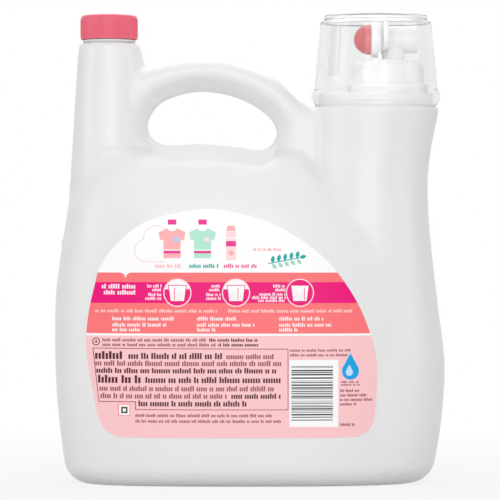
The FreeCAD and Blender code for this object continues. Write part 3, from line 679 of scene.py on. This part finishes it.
def motif_layers(rng):
    """Plain motifs in the label's upper field: a cloud line, two shirts, a striped box and a leafy twig."""
    rose, mint, teal, bright = (1.0, 0.45, 0.47), (0.45, 0.82, 0.66), (0.0, 0.4, 0.38), (0.85, 0.03, 0.3)
    layers = []
    for tone, grow in (((1.0, 0.62, 0.62), 0.0), (WHITE, -0.45)):
        layers += [(tone, disc(146, 250.5, 7.1 + grow, 40)), (tone, disc(156.5, 238.6, 8.1 + grow, 40)),
                   (tone, box(145, 243 - grow / 0.6, 166, 262.2 + grow / 0.6))]
    for x, tone, pocket in ((172, rose, (0.35, 0.68, 0.95)), (202.5, mint, (1.0, 0.75, 0.76))):
        layers += [(tone, shape([(x + a, y) for a, y in SHIRT])), (pocket, box(x + 2, 237, x + 6.4, 242)),
                   (WHITE, box(x - 8.6, 249.5, x + 8.6, 250.3)),
                   (bright, box(x - 8.6, 251, x + 8.6, 253.4)),
                   (bright, box(x - 4.2, 219.4, x + 4.2, 224.6))]
    x = 231
    layers += [(rose, shape([(x - 3.2, 225.6), (x + 3.2, 225.6), (x + 5, 231.0), (x - 5, 231.0)])),
               ((1.0, 0.72, 0.73), box(x - 5, 231.4, x + 5, 260.2)),
               (bright, box(x - 5, 241, x + 5, 246.4)), (WHITE, box(x - 5, 237.5, x + 5, 238.5)),
               (rose, disc(x, 253, 1.6, 20))]
    for tone, row in (((1.0, 0.5, 0.52), (155, 181, 266.4)), (teal, (189, 220, 266.4)),
                      ((0.8, 0.1, 0.32), (223.5, 257.5, 266.4))):
        layers += small_print(tone, 4.2, 2.0, [row], rng)
    layers += small_print((1.0, 0.42, 0.42), 3.2, 1.6, [(253, 282, 249.8)], rng)
    layers.append((teal, shape(TWIG)))
    for k in range(5):
        x, y = 272 + 6.2 * k, 263.0 - 1.17 * k
        layers += [(teal, leaf(x, y, 4.6, 1.35)), ((0.35, 0.7, 0.55), leaf(x, y + 0.6, 4.2, -0.85))]
    return layers + [(teal, leaf(299.5, 257.7, 4.4, 0.25))]


def film(name, layers, side, lift):
    """A thin closed film on the body, cut along every printed edge, with its inks in an attribute."""
    outline = closed_curve(LABEL, 6)
    points, edges = [], []

    def add_loop(loop):
        """Its long edges are split, so that they follow the curved face."""
        base, count = len(points), 0
        for start, end in zip(loop, np.roll(loop, -1, 0)):
            pieces = max(1, int(math.dist(start, end) / 3.0))
            points.extend(Vector(tuple(start + (end - start) * k / pieces)) for k in range(pieces))
            count += pieces
        edges.extend((base + k, base + (k + 1) % count) for k in range(count))

    add_loop(outline)
    for _, polygon in layers:
        add_loop(polygon)
    x, z = (a.ravel() for a in np.meshgrid(np.arange(-96, 77, 4.0), np.arange(32, 168, 4.0), indexing="ij"))
    within = inside_polygon(x, z, outline)
    points += [Vector(place) for place in zip(x[within].tolist(), z[within].tolist())]
    flat, _, triangles = delaunay_2d_cdt(points, edges, [], 0, 1e-5, False)[:3]
    flat, triangles = np.array([tuple(p) for p in flat]), np.array(triangles)
    triangles = triangles[inside_polygon(*flat[triangles].mean(1).T, outline)]
    x, z = flat[triangles].mean(1).T
    inks = np.ones((len(triangles), 3))
    for tone, polygon in layers:
        inks[inside_polygon(x, z, polygon)] = tone
    used, triangles = np.unique(triangles, return_inverse=True)
    triangles, count = triangles.reshape(-1, 3), len(used)
    x, z = flat[used].T
    front, back = (np.column_stack([x, body_face(x, z, out, side), z]) for out in (lift, -0.12))
    sides = dict.fromkeys((t[i], t[i - 2]) for t in triangles for i in range(3))
    rim = [(a, b) for a, b in sides if (b, a) not in sides]
    faces = [tuple(t) for t in triangles] + [tuple(t[::-1] + count) for t in triangles]
    faces += [(b, a, a + count, b + count) for a, b in rim]
    piece = mesh_object(name, np.concatenate([front, back]), faces, sharp=30)
    attribute = piece.data.attributes.new("Ink", "FLOAT_COLOR", "CORNER")
    tones = np.concatenate([inks, inks, np.ones((len(rim), 3))])
    corners = np.repeat(tones, [len(f) for f in faces], axis=0)
    attribute.data.foreach_set("color", np.column_stack([corners, np.ones(len(corners))]).ravel())
    return piece


class BOTTLE_OT_labels(bpy.types.Operator):
    """Make the printed back label and the plain front label"""
    bl_idname = "bottle.labels"
    bl_label = "Labels"

    def execute(self, context):
        settings = context.scene.label
        for name, surface, layers, side, slot, solid in (
                ("back_film", "Printed film", print_layers(settings), -1, "label_print", "back_label"),
                ("front_film", "Plain film", bands(settings), 1, "label_plain", "front_label")):
            finish(film(name, layers, side, settings.lift / MM),
                   plastic(surface, WHITE, gloss=0.4, mottle=0.0, relief=0.01, ink="Ink", shine=0.25),
                   "bottle", slot, solid)
        return {"FINISHED"}


# Vent cap

def repeated(source, count, turn, offset, centre, material, body):
    """Copies of one small mesh, each turned and moved on from the last, made by geometry nodes."""
    tree = bpy.data.node_groups.new("Repeat", "GeometryNodeTree")
    tree.interface.new_socket(name="Geometry", in_out="INPUT", socket_type="NodeSocketGeometry")
    values = {"Count": ("NodeSocketInt", count), "Turn": ("NodeSocketFloat", turn),
              "Offset": ("NodeSocketVector", offset)}
    sockets = {label: tree.interface.new_socket(name=label, in_out="INPUT", socket_type=kind)
               for label, (kind, _) in values.items()}
    tree.interface.new_socket(name="Geometry", in_out="OUTPUT", socket_type="NodeSocketGeometry")
    given = node(tree, "NodeGroupInput").outputs
    row = node(tree, "GeometryNodeMeshLine", {"Count": given["Count"], "Offset": given["Offset"]})
    index = node(tree, "GeometryNodeInputIndex").outputs[0]
    angle = node(tree, "ShaderNodeMath", {0: index, 1: given["Turn"]}, "MULTIPLY").outputs[0]
    angles = node(tree, "ShaderNodeCombineXYZ", {"Z": angle}).outputs[0]
    copies = node(tree, "GeometryNodeInstanceOnPoints",
                  {"Points": row.outputs["Mesh"], "Instance": given["Geometry"], "Rotation": angles})
    real = node(tree, "GeometryNodeRealizeInstances", {0: copies.outputs[0]})
    moved = node(tree, "GeometryNodeTransform", {"Geometry": real.outputs[0], "Translation": centre})
    painted = node(tree, "GeometryNodeSetMaterial", {"Geometry": moved.outputs[0], "Material": material})
    node(tree, "NodeGroupOutput", {0: painted.outputs[0]})
    modifier = source.modifiers.new("Repeat", "NODES")
    modifier.node_group = tree
    for label, (_, value) in values.items():
        modifier[sockets[label].identifier] = value
    source.data = bpy.data.meshes.new_from_object(
        source.evaluated_get(bpy.context.evaluated_depsgraph_get()))
    source.modifiers.clear()
    source.data.shade_smooth()
    source.data.set_sharp_from_angle(angle=math.radians(50))
    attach(source, body)


def upright_rib(name, radius, height, width, rows):
    """One closed rib on the +X side, from (height, inward, share) rows that follow the wall behind it."""
    points = []
    for z, inward, share in rows:
        base, tip = radius - 0.25 - inward, radius + height * share - inward
        flank = tip - height * 0.35
        points += [(r, width * across / 2, z) for r, across in ((base, -1), (flank, -0.62), (tip, 0.0),
                                                                (flank, 0.62), (base, 1))]
    return mesh_object(name, points, tube_faces(5, len(rows)))


class BOTTLE_OT_vent_cap(bpy.types.Operator):
    """Make the ribbed screw cap of the vent neck and its liner"""
    bl_idname = "bottle.vent_cap"
    bl_label = "Vent cap"

    def execute(self, context):
        settings = context.scene.closure
        low, high = (v.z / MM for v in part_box("vent_cap"))
        rib = settings.rib_height / MM
        wall = 17.8 - rib
        band = wall + rib * 0.8
        pink = plastic("Cap plastic", settings.cap, gloss=0.36, mottle=0.05, relief=0.04, soft=0.1)
        profile = rounded([(16.35, low), (wall, low, 0.25), (band, low + 0.02, 0.1), (band, low + 1.1, 0.3),
                           (wall, low + 1.4, 0.2), (wall, high, 2.9), (12.5, high, 0.5),
                           (12.1, high - 0.35, 0.4), (0, high - 0.35), (0, high - 1.8),
                           (16.35, high - 1.8, 0.8), (16.35, low)], 0.3, 6)
        cap = lathe("vent_cap_shell", profile[:-1], (VENT_X, 0, 0), 180)
        boolean(cap, thread("cap_thread", 16.35, 15.25, 275.2, 1.9, 1.7, phase=math.pi), "UNION")
        finish(cap, pink, "vent_cap", "cap_pink", "vent_cap")
        rows = [(low + 1.35, 0.0, 0.3), (low + 1.8, 0.0, 1.0), (high - 2.9, 0.0, 1.0),
                (high - 1.9, 0.28, 0.95), (high - 1.05, 0.85, 0.8), (high - 0.45, 1.7, 0.4),
                (high - 0.2, 2.4, 0.0)]
        repeated(upright_rib("vent_cap_ribs", wall, rib, 0.95, rows), settings.ribs,
                 2 * math.pi / settings.ribs, (0, 0, 0), (VENT_X * MM, 0, 0), pink, "vent_cap")
        bottom, top = (v.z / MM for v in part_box("cap_liner"))
        sheet = rounded([(0, bottom), (15.9, bottom, 0.25), (15.9, top, 0.25), (0, top)], 0.25)
        finish(lathe("cap_liner_disc", sheet, (VENT_X, 0, 0), 96),
               plastic("Liner foam", (0.85, 0.85, 0.83), gloss=0.6, grain=2500.0, relief=0.25),
               "cap_liner", "liner_white", "cap_liner")
        return {"FINISHED"}


# Tap

class BOTTLE_OT_tap(bpy.types.Operator):
    """Make the tap's collar and button ring, and give the tap body, stem and seals their plastic and rubber
    """
    bl_idname = "bottle.tap"
    bl_label = "Tap"

    def execute(self, context):
        white = plastic("Tap plastic", context.scene.closure.tap, gloss=0.28, soft=0.05)
        foot, top = (v.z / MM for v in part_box("tap_collar"))
        collar = rounded([(17.75, foot), (25.05, foot, 0.4), (25.05, foot + 6.4, 0.9),
                          (22.25, foot + 6.4, 0.9), (22.2, top, 4.6), (11.6, top, 0.7),
                          (10.9, top - 0.7, 0.3), (10.9, top - 1.8, 0.2),
                          (17.75, top - 1.8, 0.6), (17.75, foot)], 0.3, 8)
        finish(lathe("tap_collar_shell", collar[:-1], (TAP_X, 0, 0), 160), white, "bottle", "tap_white",
               "tap_collar")
        ring = rounded([(9.65, 75.1), (11.05, 75.1, 0.7), (11.05, 79.1, 0.25), (10.25, 79.1, 0.1),
                        (10.25, 76.1, 0.2), (9.65, 76.1, 0.2), (9.65, 75.1)], 0.2)
        finish(lathe("button_ring_band", ring[:-1], (0, 0, BARREL_Z), 96, along_x=True), white, "bottle",
               "tap_white", "button_ring")
        dark = plastic("Seal rubber", (0.06, 0.06, 0.065), gloss=0.6, relief=0.1)
        for name, material in (("tap_body", white), ("tap_gasket", dark), ("valve_seal", dark),
                               ("valve_stem", white)):
            own = frame["nodes"][name].data.materials
            own.clear()
            own.append(material)
        return {"FINISHED"}


class BOTTLE_OT_button(bpy.types.Operator):
    """Make the soft dome of the tap's button"""
    bl_idname = "bottle.button"
    bl_label = "Button"

    def execute(self, context):
        coral = plastic("Button rubber", context.scene.closure.button, gloss=0.42, mottle=0.04, relief=0.05,
                        soft=0.2)
        start, end = 64.4, 77.2
        quarter, back = np.linspace(0, math.pi / 2, 22)[1:], np.linspace(math.pi / 2, 0.4, 16)
        profile = [(0, start)] + [(9.5 * math.sin(a), start + 10.6 * (1 - math.cos(a))) for a in quarter]
        profile += [(9.5, end - 1.02), (10.1, end - 1.0), (10.1, end), (8.2, end)]
        profile += [(8.2 * math.sin(a), start + 1.3 + 10.2 * (1 - math.cos(a))) for a in back]
        profile += [(profile[-1][0] * 0.98, start + 2.2), (0, start + 2.2)]
        finish(lathe("button_dome", profile, (0, 0, BARREL_Z), 96, along_x=True), coral, "button",
               "button_coral", "tap_button")
        return {"FINISHED"}


# Measuring cup

def mark_bar(name, radius, z, lean, height, turns, proud):
    """One closed raised bar on the cup's cone, between two angles, at this height."""
    points = []
    for angle in np.linspace(*turns, 9):
        for up, out in ((0.0, -0.2), (0.0, proud), (height, proud), (height, -0.2)):
            r = radius - up * lean + out
            points.append((r * math.cos(angle), r * math.sin(angle), z + up))
    return mesh_object(name, points, tube_faces(4, 9))


class BOTTLE_OT_cup(bpy.types.Operator):
    """Make the clear measuring cup with its moulded marks"""
    bl_idname = "bottle.cup"
    bl_label = "Measuring cup"

    def execute(self, context):
        settings = context.scene.cup
        low, high = (v.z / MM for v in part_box("measuring_cup"))
        clear = clear_plastic("Cup plastic", settings.tint)
        profile = rounded([(0, high - 0.7), (30.8, high - 0.7, 0.3), (30.8, high, 0.3), (32.1, high, 0.5),
                           (32.1, high - 3.5, 0.4), (34.4, high - 3.8, 1.2), (38.2, 243.0, 1.2),
                           (40.0, 240.6, 1.6), (39.9, 237.4, 1.8), (37.4, low, 0.4), (36.4, low, 0.4),
                           (38.8, 237.6, 1.2), (38.95, 240.4, 1.1), (37.2, 242.8, 1.0),
                           (33.3, high - 4.8, 1.4), (30.8, high - 3.9, 0.8), (30.8, high - 2.6, 0.6),
                           (30.2, high - 2.0, 0.6), (0, high - 2.0)], 0.3, 6)
        finish(lathe("cup_shell", profile, (CUP_X, 0, 0), settings.sides, sharp=50), clear, "measuring_cup",
               "cup_clear", "measuring_cup")
        self.add_marks(settings, clear)
        return {"FINISHED"}

    def add_marks(self, settings, clear):
        """Raised panel with level marks up the cup's left front, and the parting line of its mould."""
        lean = (38.2 - 34.45) / (283.5 - 242.4)
        low_z, pitch, turn = 251.5, 4.3, math.radians(222)
        radius = 38.2 - (low_z - 242.4) * lean
        frosted = plastic("Moulded marks", (0.8, 0.81, 0.82), gloss=0.5, mottle=0.0, relief=0.1)
        bar = mark_bar("cup_marks", radius, low_z, lean, 0.5, (turn - 0.09, turn + 0.02), 0.28)
        offset = (-pitch * lean * math.cos(turn) * MM, -pitch * lean * math.sin(turn) * MM, pitch * MM)
        repeated(bar, settings.marks, 0.0, offset, (CUP_X * MM, 0, 0), frosted, "measuring_cup")
        for name, height, middle, half, proud in (("cup_panel", 31.0, turn, 0.136, 0.14),
                                                  ("cup_seam", 31.0, math.radians(271.6), 0.0035, 0.12)):
            band = mark_bar(name, radius, low_z - 1.0, lean, height, (middle - half, middle + half), proud)
            for vertex in band.data.vertices:
                vertex.co.x += CUP_X * MM
            finish(band, clear, "measuring_cup", "cup_clear")


# Stage

class BOTTLE_OT_stage(bpy.types.Operator):
    """Make the floor, the backdrop, the lamps and the camera"""
    bl_idname = "bottle.stage"
    bl_label = "Stage"

    def execute(self, context):
        scene = context.scene
        scene.view_settings.view_transform = "Standard"
        self.add_floor()
        self.add_world(scene)
        self.add_lamps()
        data = bpy.data.cameras.new("Camera")
        data.sensor_width = 36
        data.lens = scene.stage.lens
        data.clip_start, data.clip_end = 0.05, 50
        camera = bpy.data.objects.new("Camera", data)
        camera.location = (0, -scene.stage.distance, scene.stage.eye)
        camera.rotation_euler = (math.pi / 2, 0, 0)
        scene.collection.objects.link(camera)
        scene.camera = camera
        return {"FINISHED"}

    def add_floor(self):
        """A floor that turns up into a backdrop: white to the eye, with the bottle's soft shadow on it."""
        turn, start = 0.8, 2.4
        profile = [(-4.0, 0.0), (start, 0.0)]
        profile += [(start + turn * math.sin(a), turn * (1 - math.cos(a)))
                    for a in np.linspace(0.1, math.pi / 2, 14)]
        profile += [(start + turn, 4.0)]
        mesh = bpy.data.meshes.new("floor")
        mesh.from_pydata([(x, y, z) for y, z in profile for x in (-5.0, 5.0)], [],
                         [(2 * k, 2 * k + 1, 2 * k + 3, 2 * k + 2) for k in range(len(profile) - 1)])
        mesh.shade_smooth()
        mesh.materials.append(self.white_ground())
        floor = bpy.data.objects.new("floor", mesh)
        bpy.context.scene.collection.objects.link(floor)

    def white_ground(self):
        """Lit like a pale floor, but near white to the camera, and in what glossy and clear pieces show."""
        material = bpy.data.materials.new("Pale floor")
        material.use_nodes = True
        tree = material.node_tree
        shader = feed(tree, tree.nodes["Principled BSDF"], {"Base Color": (0.6, 0.6, 0.6, 1),
                                                            "Roughness": 0.8})
        place = node(tree, "ShaderNodeTexCoord").outputs["Object"]
        reach = node(tree, "ShaderNodeVectorMath", {0: place}, "LENGTH").outputs["Value"]
        white = node(tree, "ShaderNodeMapRange", {"Value": reach, "From Min": 0.12, "From Max": 0.6,
                                                  "To Min": 0.84, "To Max": 1.0}).outputs["Result"]
        ray = node(tree, "ShaderNodeLightPath").outputs
        seen = ray["Is Camera Ray"]
        for other in ("Is Glossy Ray", "Is Transmission Ray"):
            seen = node(tree, "ShaderNodeMath", {0: seen, 1: ray[other]}, "MAXIMUM").outputs[0]
        share = node(tree, "ShaderNodeMath", {0: seen, 1: white}, "MULTIPLY").outputs[0]
        glow = node(tree, "ShaderNodeEmission").outputs[0]
        mix = node(tree, "ShaderNodeMixShader", {"Fac": share, 1: shader.outputs[0], 2: glow})
        feed(tree, tree.nodes["Material Output"], {"Surface": mix.outputs[0]})
        return material

    def add_world(self, scene):
        world = bpy.data.worlds.new("Studio")
        world.use_nodes = True
        feed(world.node_tree, world.node_tree.nodes["Background"], {"Color": (1, 1, 1, 1), "Strength": 0.6})
        scene.world = world

    def add_lamps(self):
        """Soft lamps as (name, place, size, watts), all aimed at the bottle's middle."""
        lamps = (("Front", (0.0, -1.6, 0.6), 1.25, 10.9), ("Crown", (0.0, 0.3, 0.8), 0.6, 2.2),
                 ("Right", (1.9, -0.5, 0.6), 1.0, 3.0), ("Left", (-1.9, -0.5, 0.6), 1.0, 4.5))
        for name, place, size, power in lamps:
            data = bpy.data.lights.new(name, "AREA")
            data.size, data.energy = size, power
            lamp = bpy.data.objects.new(name, data)
            lamp.location = place
            lamp.rotation_euler = (Vector((0, 0, 0.14)) - Vector(place)).to_track_quat("-Z", "Y").to_euler()
            bpy.context.scene.collection.objects.link(lamp)


class BOTTLE_PT_panel(bpy.types.Panel):
    """Lists the steps that dress the bottle"""
    bl_idname = "BOTTLE_PT_panel"
    bl_label = "Detergent bottle"
    bl_space_type = "VIEW_3D"
    bl_region_type = "UI"
    bl_category = "Bottle"

    def draw(self, context):
        for step in STEPS:
            self.layout.operator("bottle." + step)
        for group in GROUPS:
            settings = getattr(context.scene, group)
            for name in settings.__annotations__:
                self.layout.prop(settings, name)


STEPS = ["stage", "shell", "labels", "vent_cap", "tap", "button", "cup"]
GROUPS = {"bottle": BottleSettings, "closure": ClosureSettings, "cup": CupSettings, "label": LabelSettings,
          "stage": StageSettings}
CLASSES = [*GROUPS.values(), BOTTLE_OT_shell, BOTTLE_OT_labels, BOTTLE_OT_vent_cap, BOTTLE_OT_tap,
           BOTTLE_OT_button, BOTTLE_OT_cup, BOTTLE_OT_stage, BOTTLE_PT_panel]


def register():
    for cls in CLASSES:
        bpy.utils.register_class(cls)
    for name, group in GROUPS.items():
        setattr(bpy.types.Scene, name, PointerProperty(type=group))


def unregister():
    for name in GROUPS:
        delattr(bpy.types.Scene, name)
    for cls in reversed(CLASSES):
        bpy.utils.unregister_class(cls)


def main():
    register()
    for step in STEPS:
        getattr(bpy.ops.bottle, step)()


if __name__ == "__main__":
    main()
